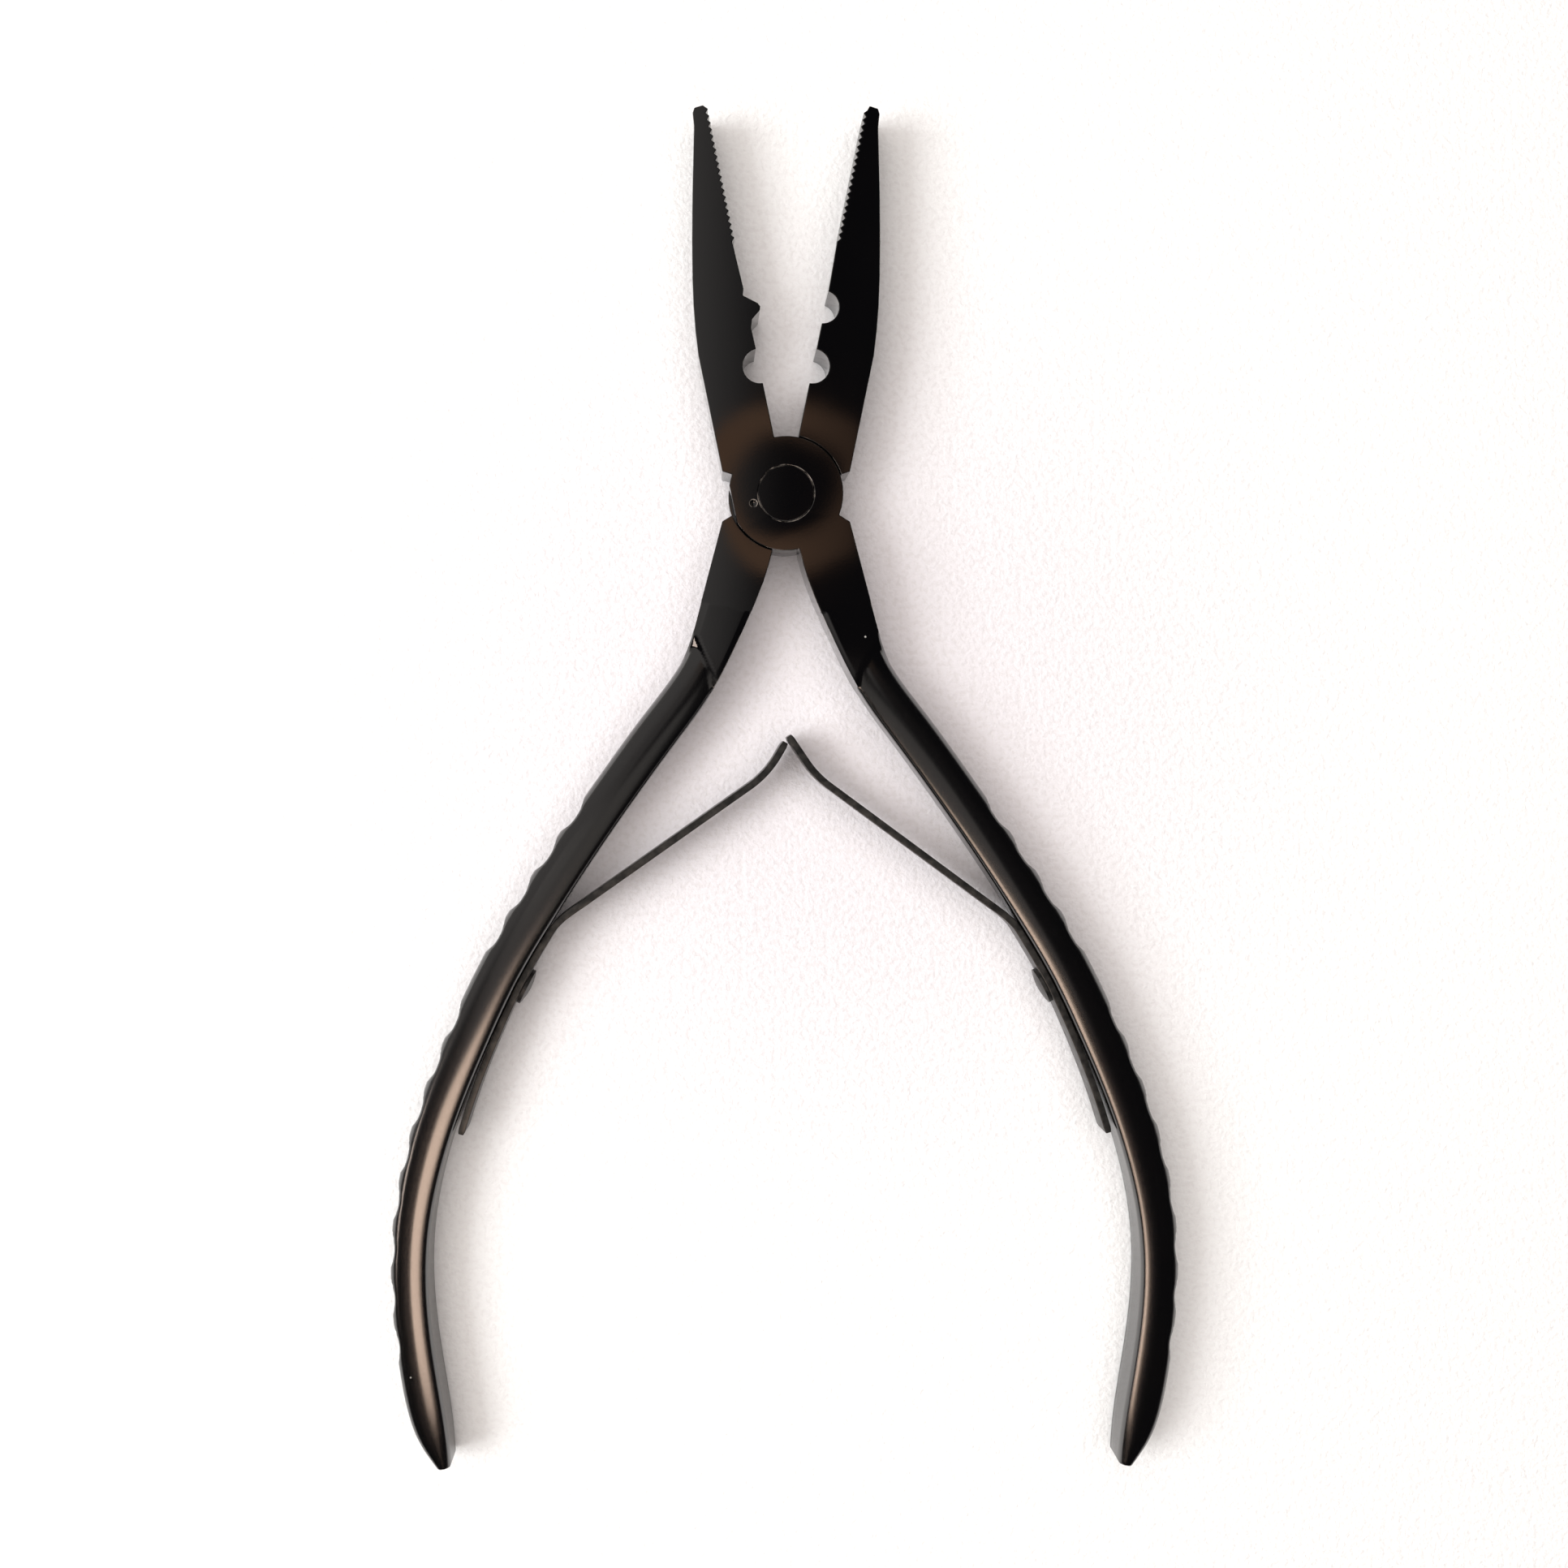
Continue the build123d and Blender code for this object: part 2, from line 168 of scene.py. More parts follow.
STRIP_ROUGHNESS = (0.28, 0.46)
STRIP_METALLIC = 0.35
# The first colour is painted shade in the middle under the tool, the second the card's plain white
CARD_SHADED_AND_PLAIN = ((0.83, 0.795, 0.82), (0.93, 0.925, 0.92))
CARD_PIT_COLOUR = (0.72, 0.68, 0.68)
CARD_SHADE_MIDDLE = (0.003, -0.028, 0)
CARD_SHADE_FADE = (0.012, 0.075)  # distances from the middle over which the painted shade fades to the card's plain colour
CARD_GRAIN_SCALE = 1500
CARD_PITS = (0.56, 0.34)
CARD_PIT_SHADE = (0.45, 0.18)  # in the middle and at the edges
CARD_ROUGHNESS = 0.75

# The room as the gloss reflects it, placed by its slope from the zenith
ROOM_DARK = (0.012, 0.012, 0.016)
ROOM_HAZE = (0.34, 0.32, 0.31)
ROOM_WARM = (0.42, 0.24, 0.15)
ROOM_PALE = (0.8, 0.74, 0.70)
RING_CENTRE = (0.052, 0.139)
RING_RADIUS = 0.041
RING_WIDTH = 0.010
RING_INNER_EDGE = (RING_RADIUS - 1.6 * RING_WIDTH, RING_RADIUS - 0.4 * RING_WIDTH)
RING_OUTER_EDGE = (RING_RADIUS + 1.2 * RING_WIDTH, RING_RADIUS + 0.8 * RING_WIDTH)
RING_WAVER = 0.012
RING_WAVER_SCALE = 9
RING_FADE = (-0.01, 0.04, 1.0, 0.35)  # from and to slopes, then the strengths there
OVERHEAD = (0.5, 0.8)  # heights on a unit sphere
HORIZON = (0.25, 0.05)
HAZE_ACROSS = (0.05, -0.03)
HAZE_ALONG = (-0.12, 0.04)

# Floor, lights and camera, in metres and watts
FLOOR_HALF = 3.0
FLOOR_DROP = 0.00002
TOOL_MIDDLE = (0, -0.03, 0)
FILL_POWER = 14.5
FILL_PLACE = (-0.1, 0.05, 1.0)
FILL_SIZE = (1.6, 1.6)
FILL_COLOUR = (1, 0.94, 0.90)
WINDOW_POWER = 4.6
WINDOW_PLACE = (-0.6, -0.1, 0.55)
WINDOW_SIZE = (0.5, 0.5)
WINDOW_COLOUR = (0.95, 0.985, 1)
LAMP_POWER = 0.031
LAMP_PLACE = (-0.022, -0.1065, 0.08)
LAMP_SIZE = (0.044, 0.039)
LAMP_COLOUR = (1, 0.74, 0.58)
GLOW_POWER = 0.0030
GLOW_PLACE = (-0.012, -0.062, 0.08)
GLOW_SIZE = (0.068, 0.048)
GLOW_COLOUR = (1, 0.94, 0.88)
GLINT_POWER = 0.06
GLINT_PLACE = (-0.236, -0.111, 0.180)
GLINT_SIZE = (0.08, 0.05)
GLINT_COLOUR = (1, 0.82, 0.72)
LEFT_FACET = (-0.009, -0.019, 0.007)
CAMERA_LENS = 41.7
CAMERA_SENSOR = 36
CAMERA_SHIFT = (0.035, -0.025)
CAMERA_CLIP = 0.01
CAMERA_PLACE = (-0.00944, -0.02778, 0.2126)
CAMERA_TILT = (-0.20, -0.83)  # degrees about X and Y


# ---------------------------------------------------------------- curves

def run_lengths(points):
    """How far along a line each of its points lies, from 0 at the first."""
    steps = np.linalg.norm(np.diff(points, axis=0), axis=1)
    return np.concatenate([[0], np.cumsum(steps)])


def unit(vector):
    """The same direction at length 1."""
    return vector / np.linalg.norm(vector)


def left_normals(points):
    """Unit directions square to a line at each of its points, on its left."""
    tangent = np.gradient(points, axis=0)
    tangent /= np.linalg.norm(tangent, axis=1)[:, None]
    return np.stack([-tangent[:, 1], tangent[:, 0]], axis=1)


class Spline:
    """A smooth curve through points, with its own measure along it."""

    def __init__(self, points, knots=None):
        self.points = np.array(points, float)
        if knots is None:
            knots = run_lengths(self.points)
        self.knots = np.array(knots, float)
        self.bends = self._bends()

    def _bends(self):
        """The curvature at each knot, none at the ends."""
        count = len(self.knots)
        gaps = np.diff(self.knots)
        matrix = np.eye(count)
        right = np.zeros_like(self.points)
        slopes = np.diff(self.points, axis=0) / gaps[:, None]
        for i in range(1, count - 1):
            matrix[i, i - 1:i + 2] = gaps[i - 1], 2 * (gaps[i - 1] + gaps[i]), gaps[i]
            right[i] = 6 * (slopes[i] - slopes[i - 1])
        return np.linalg.solve(matrix, right)

    def at(self, t):
        """The points at each t."""
        t = np.atleast_1d(np.clip(t, self.knots[0], self.knots[-1]))
        i = np.clip(np.searchsorted(self.knots, t, side="right") - 1, 0, len(self.knots) - 2)
        gap = (self.knots[i + 1] - self.knots[i])[:, None]
        after = (t - self.knots[i])[:, None] / gap
        before = 1 - after
        curve = (before**3 - before) * self.bends[i] + (after**3 - after) * self.bends[i + 1]
        return before * self.points[i] + after * self.points[i + 1] + curve * gap**2 / 6


def station_splines():
    """The handle's inner edge, outer edge and half depth on one shared measure."""
    inner = np.array([station[0] for station in STATIONS])
    outer = np.array([station[1] for station in STATIONS])
    depth = np.array([[station[2]] for station in STATIONS])
    knots = run_lengths((inner + outer) / 2)
    return Spline(inner, knots), Spline(outer, knots), Spline(depth, knots)


def soft_min(a, b, softness):
    """The smaller of two distances, rounded where they cross."""
    return (a + b - np.sqrt((a - b) ** 2 + softness**2)) / 2


# ---------------------------------------------------------------- placing

def place(points, side):
    """Closed millimetre points to the open rest pose in metres. side 1 is the upper half,
    whose handle is on the right, and -1 the lower half, mirrored."""
    points = np.array(points, float)
    x = points[:, 0] * side
    turn = HALF_OPEN * side
    turned = np.stack([
        x * math.cos(turn) - points[:, 1] * math.sin(turn),
        x * math.sin(turn) + points[:, 1] * math.cos(turn),
        points[:, 2],
    ], axis=1)
    return turned * MM


def new_piece(name, mesh):
    """A mesh as an object in the scene."""
    piece = bpy.data.objects.new(name, mesh)
    bpy.context.scene.collection.objects.link(piece)
    return piece


def shade(mesh, angle):
    """Smooth shading with sharp edges where faces meet at more than angle degrees."""
    mesh.polygons.foreach_set("use_smooth", [True] * len(mesh.polygons))
    mesh.set_sharp_from_angle(angle=math.radians(angle))


def weigh_normals(piece):
    """Keeps large flat faces optically flat beside their rounded edges."""
    modifier = piece.modifiers.new("flat_faces", "WEIGHTED_NORMAL")
    modifier.keep_sharp = True
    modifier.weight = 80
def skin(builder, rings):
    """Joins each ring of vertices to the next with four-sided faces."""
    for ring, following in zip(rings, rings[1:]):
        for i in range(len(ring)):
            j = (i + 1) % len(ring)
            builder.faces.new((ring[i], ring[j], following[j], following[i]))


def finished_piece(name, builder, sharp_angle):
    """The builder's closed mesh as a smooth object, with its faces turned outwards."""
    bmesh.ops.recalc_face_normals(builder, faces=builder.faces)
    mesh = bpy.data.meshes.new(name)
    builder.to_mesh(mesh)
    builder.free()
    shade(mesh, sharp_angle)
    return new_piece(name, mesh)

# ---------------------------------------------------------------- the two halves

def section_angles(centre, width, inner_height, outer_height):
    """Directions from the section's centre that hit its four corners exactly."""
    corners = [
        math.atan2(-inner_height, -centre) + 2 * math.pi,
        math.atan2(inner_height, -centre),
        math.atan2(outer_height, width - centre),
        math.atan2(-outer_height, width - centre),
        math.atan2(-inner_height, -centre),
    ]
    angles = []
    for start, end, steps in zip(corners, corners[1:], SIDE_STEPS):
        angles.extend(start + (end - start) * np.arange(steps) / steps)
    return np.array(angles)


def reach(limit, slope_u, slope_z, across, up):
    """How far each direction runs to the line slope_u * u + slope_z * z = limit."""
    rate = slope_u * across + slope_z * up
    return np.where(rate > 1e-6, limit / np.maximum(rate, 1e-6), 1e3)


def past_facet(inner, direction):
    """How far past the facet's top edge the inner edge is, and how fast that grows outwards."""
    facet_start = np.array(FACET_START)
    facet_run = np.array(FACET_END) - facet_start
    onward = np.array([-facet_run[1], facet_run[0]]) / np.linalg.norm(facet_run)
    return (inner - facet_start) @ onward, direction @ onward


def grip_reach(across, up, centre, width, depth):
    """How far the crowned, bull-nosed grip runs in each direction."""
    nose = (np.abs(across / (width - centre)) ** NOSE_EXPONENT
            + np.abs(up / depth) ** NOSE_EXPONENT) ** (-1 / NOSE_EXPONENT)
    near, far = np.zeros_like(across), np.full_like(across, 2 * width)
    for halving in range(HALVINGS):
        trial = (near + far) / 2
        drop = CROWN_DROP * (trial * np.abs(across) / centre) ** CROWN_EXPONENT
        under = trial * np.abs(up) < depth - drop
        near, far = np.where(under, trial, near), np.where(under, far, trial)
    inner_wall = reach(centre, -1, 0, across, up)
    return np.where(across > 0, nose, soft_min(near, inner_wall, 2 * CORNER_SOFTNESS))


def neck_reach(across, up, centre, width, past_inner, past_rate):
    """How far the flat neck, with its slanted facet, runs in each direction."""
    inner_wall = reach(centre, -1, 0, across, up)
    walls = soft_min(inner_wall, reach(width - centre, 1, 0, across, up), CORNER_SOFTNESS)
    lid = reach(MID, 0, 1, across, np.abs(up))
    facet_limit = MID - FACET_SLOPE * (past_inner + past_rate * centre)
    facet = reach(max(facet_limit, 0.0), FACET_SLOPE * past_rate, 1, across, np.abs(up))
    return soft_min(np.minimum(lid, facet), walls, CORNER_SOFTNESS)


def section(inner, outer, depth):
    """One ring of the handle, the grip or the neck, whichever stands further out,
    as (u across, z up) points and the inner-to-outer direction."""
    across_line = outer - inner
    width = np.linalg.norm(across_line)
    direction = across_line / width
    centre = CROWN_RIDGE * width
    past_inner, past_rate = past_facet(inner, direction)
    flat_inner = MID - FACET_SLOPE * max(0.0, past_inner)
    flat_outer = MID - FACET_SLOPE * max(0.0, past_inner + past_rate * width)
    inner_height = max(depth - CROWN_DROP, flat_inner)
    outer_height = max(NOSE_CORNER * depth, flat_outer)
    angles = section_angles(centre, width, inner_height, outer_height)
    across, up = np.cos(angles), np.sin(angles)
    grip = grip_reach(across, up, centre, width, depth)
    neck = neck_reach(across, up, centre, width, past_inner, past_rate)
    radius = np.maximum(grip, neck)
    return centre + radius * across, radius * up, direction


def scallop_centres(outer_edge):
    """The axes of the upright cylinders that cut the finger scallops."""
    points = outer_edge.at(np.linspace(outer_edge.knots[0], outer_edge.knots[-1], FINE_POINTS))
    run = run_lengths(points)
    first = run[np.argmax(points[:, 1] < SCALLOP_FIRST_Y)]
    centres = []
    for number in range(SCALLOP_COUNT):
        if number == SCALLOP_PLAIN:
            continue
        i = np.searchsorted(run, first + number * SCALLOP_PITCH)
        tangent = points[i + 1] - points[i - 1]
        tangent /= np.linalg.norm(tangent)
        outward = np.array([-tangent[1], tangent[0]])
        centres.append(points[i] + outward * (SCALLOP_RADIUS - SCALLOP_DEPTH))
    return centres


def cut_scallops(flat, centres):
    """Moves the points inside a scallop's cylinder out to its wall."""
    for centre in centres:
        away = flat - centre
        distance = np.linalg.norm(away, axis=1)
        cut = distance < SCALLOP_RADIUS
        flat[cut] = centre + away[cut] * (SCALLOP_RADIUS / distance[cut])[:, None]


def handle_rings():
    """Every ring of the handle from the neck cut to the rounded end, in closed millimetres."""
    inner_edge, outer_edge, depths = station_splines()
    length = inner_edge.knots[-1]
    count = int(length / RING_SPACING)
    turns = [math.radians(angle) for angle in END_TURNS]
    places = list(np.linspace(0, length - END_ROUND, count))
    places += [length - END_ROUND * (1 - math.sin(turn)) for turn in turns]
    shrinks = [0.0] * count + [END_ROUND * (1 - math.cos(turn)) * END_SHRINK for turn in turns]
    centres = scallop_centres(outer_edge)
    rings = []
    for at, shrink in zip(places, shrinks):
        inner, outer, depth = inner_edge.at(at)[0], outer_edge.at(at)[0], depths.at(at)[0, 0]
        u, z, direction = section(inner, outer, depth)
        if shrink:
            middle = np.linalg.norm(outer - inner) / 2
            size = np.hypot(u - middle, z)
            u = middle + (u - middle) * (1 - shrink / size)
            z = z * (1 - shrink / size)
        flat = inner + u[:, None] * direction
        cut_scallops(flat, centres)
        rings.append(np.column_stack([flat, z + MID]))
    return rings


def flat_stretch(mesh_builder, node, side):
    """Loads the CAD mesh's flat jaw, lap and neck, cut at the neck, with rounded edges."""
    mesh_builder.from_mesh(nodes[node].data)
    bmesh.ops.remove_doubles(mesh_builder, verts=mesh_builder.verts, dist=MERGE_DISTANCE * MM)
    point = place([(4, NECK_CUT_Y + CUT_SLIT, MID)], side)[0]
    normal = place([(0, -1, 0)], side)[0] / MM
    everything = mesh_builder.verts[:] + mesh_builder.edges[:] + mesh_builder.faces[:]
    bmesh.ops.bisect_plane(
        mesh_builder, geom=everything, plane_co=Vector(point), plane_no=Vector(normal),
        clear_outer=True,
    )
    bmesh.ops.dissolve_limit(
        mesh_builder, angle_limit=math.radians(FLAT_ANGLE),
        verts=mesh_builder.verts, edges=mesh_builder.edges,
    )
    dimple = place([(DIMPLE_PLACE[0], DIMPLE_PLACE[1], THICKNESS)], 1)[0]
    sharp = []
    for edge in mesh_builder.edges:
        middle = (edge.verts[0].co + edge.verts[1].co) / 2
        near_pivot = math.hypot(middle.x, middle.y) < PIVOT_KEEP_RADIUS * MM
        near_dimple = (middle - Vector(dimple)).length < DIMPLE_KEEP_RADIUS * MM
        if not edge.is_boundary and not near_pivot and not near_dimple:
            if edge.calc_face_angle(0) > math.radians(ROUNDED_ANGLE):
                sharp.append(edge)
    bmesh.ops.bevel(
        mesh_builder, geom=sharp, offset=EDGE_ROUND * MM, offset_type="OFFSET", segments=2,
        profile=0.5, affect="EDGES", clamp_overlap=False,
    )


def half(name, node, side, rings):
    """One forging: the flat CAD stretch bridged to the formed handle, as one closed mesh."""
    builder = bmesh.new()
    flat_stretch(builder, node, side)
    neck_loop = [edge for edge in builder.edges if edge.is_boundary]
    verts = []
    for ring in rings:
        verts.append([builder.verts.new(point) for point in place(ring, side)])
    skin(builder, verts)
    builder.faces.new(verts[-1])
    handle_loop = [builder.edges.get((a, b)) for a, b in zip(verts[0], verts[0][1:] + verts[0][:1])]
    bmesh.ops.bridge_loops(builder, edges=neck_loop + handle_loop)
    piece = finished_piece(name, builder, HALF_SHARP_ANGLE)
    weigh_normals(piece)
    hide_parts(node)
    return piece


# ---------------------------------------------------------------- springs and rivets

def spring_path(side):
    """The middle line of a leaf spring in open millimetres, as its leg from the foot to the
    hinge and its arm from the hinge to the tip."""
    inner_edge = station_splines()[0]
    fine = inner_edge.at(np.linspace(inner_edge.knots[0], inner_edge.knots[-1], FINE_POINTS))
    foot_y = LEG_END_Y - SPRING_FOOT_LENGTH
    rows = fine[(fine[:, 1] < LEG_START_Y) & (fine[:, 1] > foot_y)][::-1]
    rows = rows[:: max(1, len(rows) // LEG_POINTS)]
    past = np.clip((SPRING_RIVET_Y - rows[:, 1]) / (SPRING_RIVET_Y - LEG_END_Y), 0, 1)
    gap = SPRING_SEAT_GAP + (SPRING_FOOT_GAP - SPRING_SEAT_GAP) * past**2
    middle = rows + left_normals(rows) * (gap + SPRING_THICKNESS / 2)[:, None]
    closed = np.column_stack([middle, np.full(len(middle), MID)])
    leg = place(closed, side)[:, :2] / MM
    hand = "right" if side > 0 else "left"
    hinge, bend, tip = [np.array(point) for point in ARMS[hand]]
    return leg, bent_line(hinge, bend, tip, SPRING_BEND_RADIUS)


def bent_line(start, corner, end, radius):
    """Points along two straight runs joined by an arc, without the start point."""
    first = unit(corner - start)
    last = unit(end - corner)
    turn = math.acos(float(first @ last))
    tangent = radius * math.tan(turn / 2)
    arc_start = corner - first * tangent
    hand = 1 if first[0] * last[1] - first[1] * last[0] > 0 else -1
    centre = arc_start + hand * radius * np.array([-first[1], first[0]])
    points = [start + (arc_start - start) * share for share in np.linspace(*ARM_RUN_IN)]
    for step in range(1, SPRING_BEND_STEPS + 1):
        angle = hand * turn * step / SPRING_BEND_STEPS
        arm = arc_start - centre
        points.append(centre + np.array([
            arm[0] * math.cos(angle) - arm[1] * math.sin(angle),
            arm[0] * math.sin(angle) + arm[1] * math.cos(angle),
        ]))
    run_out = points[-1]
    points += [run_out + (end - run_out) * share for share in np.linspace(*ARM_RUN_OUT)]
    return np.array(points)


def strip_section():
    """The rounded rectangle of the spring strip, as (thickness, width) offsets."""
    corner = SPRING_CORNER
    half_thickness, half_width = SPRING_THICKNESS / 2, SPRING_WIDTH / 2
    points = []
    for number, (sx, sy) in enumerate(((1, 1), (-1, 1), (-1, -1), (1, -1))):
        for step in range(4):
            angle = math.radians(90 * number + 30 * step)
            points.append((
                sx * (half_thickness - corner) + corner * math.cos(angle),
                sy * (half_width - corner) + corner * math.sin(angle),
            ))
    return points


def strip_rings(builder, points):
    """A ring of new vertices square to the line at each of its points."""
    outline = strip_section()
    plain = [0.0] * (len(points) - 2 * len(SPRING_END_TRIM))
    trims = SPRING_END_TRIM + plain + SPRING_END_TRIM[::-1]
    rings = []
    for point, across, trim in zip(points, left_normals(points), trims):
        ring = []
        for thick, wide in outline:
            thick -= math.copysign(trim, thick)
            wide -= math.copysign(trim, wide)
            spot = point + across * thick
            ring.append(builder.verts.new((spot[0] * MM, spot[1] * MM, (MID + wide) * MM)))
        rings.append(ring)
    return rings


def bend_at_hinge(piece):
    """Bakes the spring's placement into its mesh."""
    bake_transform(piece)


def leaf_spring(hand):
    """One continuous strip from the foot on the handle to the free tip."""
    side, body = (1, "upper") if hand == "right" else (-1, "lower")
    leg, arm = spring_path(side)
    count = int(run_lengths(np.vstack([leg, arm]))[-1] / SPRING_RING_SPACING)
    smooth = Spline(np.vstack([leg[::LEG_THINNING], leg[-1:], arm]))
    builder = bmesh.new()
    rings = strip_rings(builder, smooth.at(np.linspace(0, smooth.knots[-1], count)))
    skin(builder, rings)
    builder.faces.new(rings[0])
    builder.faces.new(rings[-1])
    piece = finished_piece(f"{hand}_leaf_spring", builder, SPRING_SHARP_ANGLE)
    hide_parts(f"{hand}_spring_leg", f"{hand}_spring_arm")
    bend_at_hinge(piece)
    return piece


# ---------------------------------------------------------------- materials

def material(name):
    """A new material with its nodes, its links and its shader."""
    made = bpy.data.materials.new(name)
    made.use_nodes = True
    return made, made.node_tree.nodes, made.node_tree.links, made.node_tree.nodes["Principled BSDF"]


def noise(tree_nodes, tree_links, place_in, scale, detail=4.0, roughness=0.5):
    """A noise texture over the given coordinates."""
    node = tree_nodes.new("ShaderNodeTexNoise")
    node.inputs["Scale"].default_value = scale
    node.inputs["Detail"].default_value = detail
    node.inputs["Roughness"].default_value = roughness
    tree_links.new(place_in, node.inputs["Vector"])
    return node


def ramp(tree_nodes, tree_links, source, low, high, out_low, out_high):
    """Maps low to high onto out_low to out_high in a straight line."""
    node = tree_nodes.new("ShaderNodeMapRange")
    node.inputs["From Min"].default_value = low
    node.inputs["From Max"].default_value = high
    node.inputs["To Min"].default_value = out_low
    node.inputs["To Max"].default_value = out_high
    tree_links.new(source, node.inputs["Value"])
    return node.outputs["Result"]


def mask(tree_nodes, tree_links, source, low, high):
    """0 at low and 1 at high, eased between them."""
    node = tree_nodes.new("ShaderNodeMapRange")
    node.interpolation_type = "SMOOTHSTEP"
    node.inputs["From Min"].default_value = low
    node.inputs["From Max"].default_value = high
    tree_links.new(source, node.inputs["Value"])
    return node.outputs["Result"]


def maths(tree_nodes, tree_links, operation, *values):
    """One sum on numbers or sockets."""
    node = tree_nodes.new("ShaderNodeMath")
    node.operation = operation
    for value, socket in zip(values, node.inputs):
        if isinstance(value, (int, float)):
            socket.default_value = value
        else:
            tree_links.new(value, socket)
    return node.outputs["Value"]


def blend_colours(tree_nodes, tree_links, share, first, second):
    """Mixes from first to second, each a colour or a socket, by share."""
    node = tree_nodes.new("ShaderNodeMix")
    node.data_type = "RGBA"
    tree_links.new(share, node.inputs["Factor"])
    for value, socket in ((first, node.inputs[6]), (second, node.inputs[7])):
        if isinstance(value, tuple):
            socket.default_value = (*value, 1)
        else:
            tree_links.new(value, socket)
    return node.outputs[2]


def worn_edges(tree_nodes, tree_links, coordinates):
    """Where edges have rubbed bright: the normal turns within a rounding radius, in patches."""
    rounded = tree_nodes.new("ShaderNodeBevel")
    rounded.samples = 6
    rounded.inputs["Radius"].default_value = WEAR_REACH
    true = tree_nodes.new("ShaderNodeNewGeometry").outputs["Normal"]
    facing = tree_nodes.new("ShaderNodeVectorMath")
    facing.operation = "DOT_PRODUCT"
    tree_links.new(rounded.outputs["Normal"], facing.inputs[0])
    tree_links.new(true, facing.inputs[1])
    edges = mask(tree_nodes, tree_links, facing.outputs["Value"], *WEAR_TURN)
    patches = noise(tree_nodes, tree_links, coordinates, WEAR_PATCH_SCALE, 3).outputs["Fac"]
    broken = mask(tree_nodes, tree_links, patches, *WEAR_PATCHES)
    return maths(tree_nodes, tree_links, "MULTIPLY", edges, broken)


def dust(tree_nodes, tree_links, coordinates):
    """A few tiny pale specks, one to some cells of a coarse grid."""
    cells = tree_nodes.new("ShaderNodeTexVoronoi")
    cells.inputs["Scale"].default_value = DUST_SCALE
    tree_links.new(coordinates, cells.inputs["Vector"])
    near = mask(tree_nodes, tree_links, cells.outputs["Distance"], *DUST_EDGE)
    chosen = tree_nodes.new("ShaderNodeSeparateColor")
    tree_links.new(cells.outputs["Color"], chosen.inputs["Color"])
    picked = maths(tree_nodes, tree_links, "GREATER_THAN", chosen.outputs["Red"], DUST_RARITY)
    return maths(tree_nodes, tree_links, "MULTIPLY", near, picked)


def bump(tree_nodes, tree_links, shader, height, strength, distance):
    """Roughens the shader's surface by a height."""
    node = tree_nodes.new("ShaderNodeBump")
    node.inputs["Strength"].default_value = strength
    node.inputs["Distance"].default_value = distance
    tree_links.new(height, node.inputs["Height"])
    tree_links.new(node.outputs["Normal"], shader.inputs["Normal"])


def painted_rim_glint(tree_nodes, tree_links, coordinates, centre, radius):
    """A thin bright ring painted on the top face about a centre, in millimetres: a painted
    highlight, broken in patches, where a rim's edge catches the light.
    """
    away = tree_nodes.new("ShaderNodeVectorMath")
    away.operation = "DISTANCE"
    away.inputs[1].default_value = (centre[0] * MM, centre[1] * MM, THICKNESS * MM)
    tree_links.new(coordinates, away.inputs[0])
    past = maths(tree_nodes, tree_links, "SUBTRACT", away.outputs["Value"], radius * MM)
    off = maths(tree_nodes, tree_links, "ABSOLUTE", past)
    ring = mask(tree_nodes, tree_links, off, RIM_GLINT_WIDTH * MM, RIM_GLINT_WIDTH * MM / 3)
    patches = noise(tree_nodes, tree_links, coordinates, RIM_GLINT_PATCH_SCALE, 2).outputs["Fac"]
    broken = mask(tree_nodes, tree_links, patches, *RIM_GLINT_PATCHES)
    return maths(tree_nodes, tree_links, "MULTIPLY", ring, broken)


def coat_colour(tree_nodes, links, coordinates, clouds):
    """Near black, with rubbed edges, painted highlight rings at the pivot seam and the dimple rim,
    and a few specks of dust.
    """
    # Painted highlights: bright rings where the seam and the dimple rim catch the light
    seam_glint = painted_rim_glint(tree_nodes, links, coordinates, (0, 0), SEAM_RADIUS)
    dimple = painted_rim_glint(tree_nodes, links, coordinates, DIMPLE_OPEN, DIMPLE_RIM_RADIUS)
    layers = (
        (worn_edges(tree_nodes, links, coordinates), COAT_WORN),
        (maths(tree_nodes, links, "MAXIMUM", seam_glint, dimple), COAT_RIM_GLINT),
        (dust(tree_nodes, links, coordinates), DUST_COLOUR),
    )
    colour = blend_colours(tree_nodes, links, clouds, *COAT_COLOURS)
    for share, layer in layers:
        colour = blend_colours(tree_nodes, links, share, colour, layer)
    return colour


def satin_below_neck(tree_nodes, links, coordinates, grain, gloss):
    """The flats' roughness as far as the necks and a satin grain on the handles."""
    split = tree_nodes.new("ShaderNodeSeparateXYZ")
    links.new(coordinates, split.inputs["Vector"])
    on_handle = mask(tree_nodes, links, split.outputs["Y"], *SATIN_STARTS)
    satin = ramp(tree_nodes, links, grain, *NOISE_RANGE, *HANDLE_ROUGHNESS)
    rough = tree_nodes.new("ShaderNodeMix")
    links.new(on_handle, rough.inputs["Factor"])
    links.new(gloss, rough.inputs["A"])
    links.new(satin, rough.inputs["B"])
    return rough.outputs["Result"]


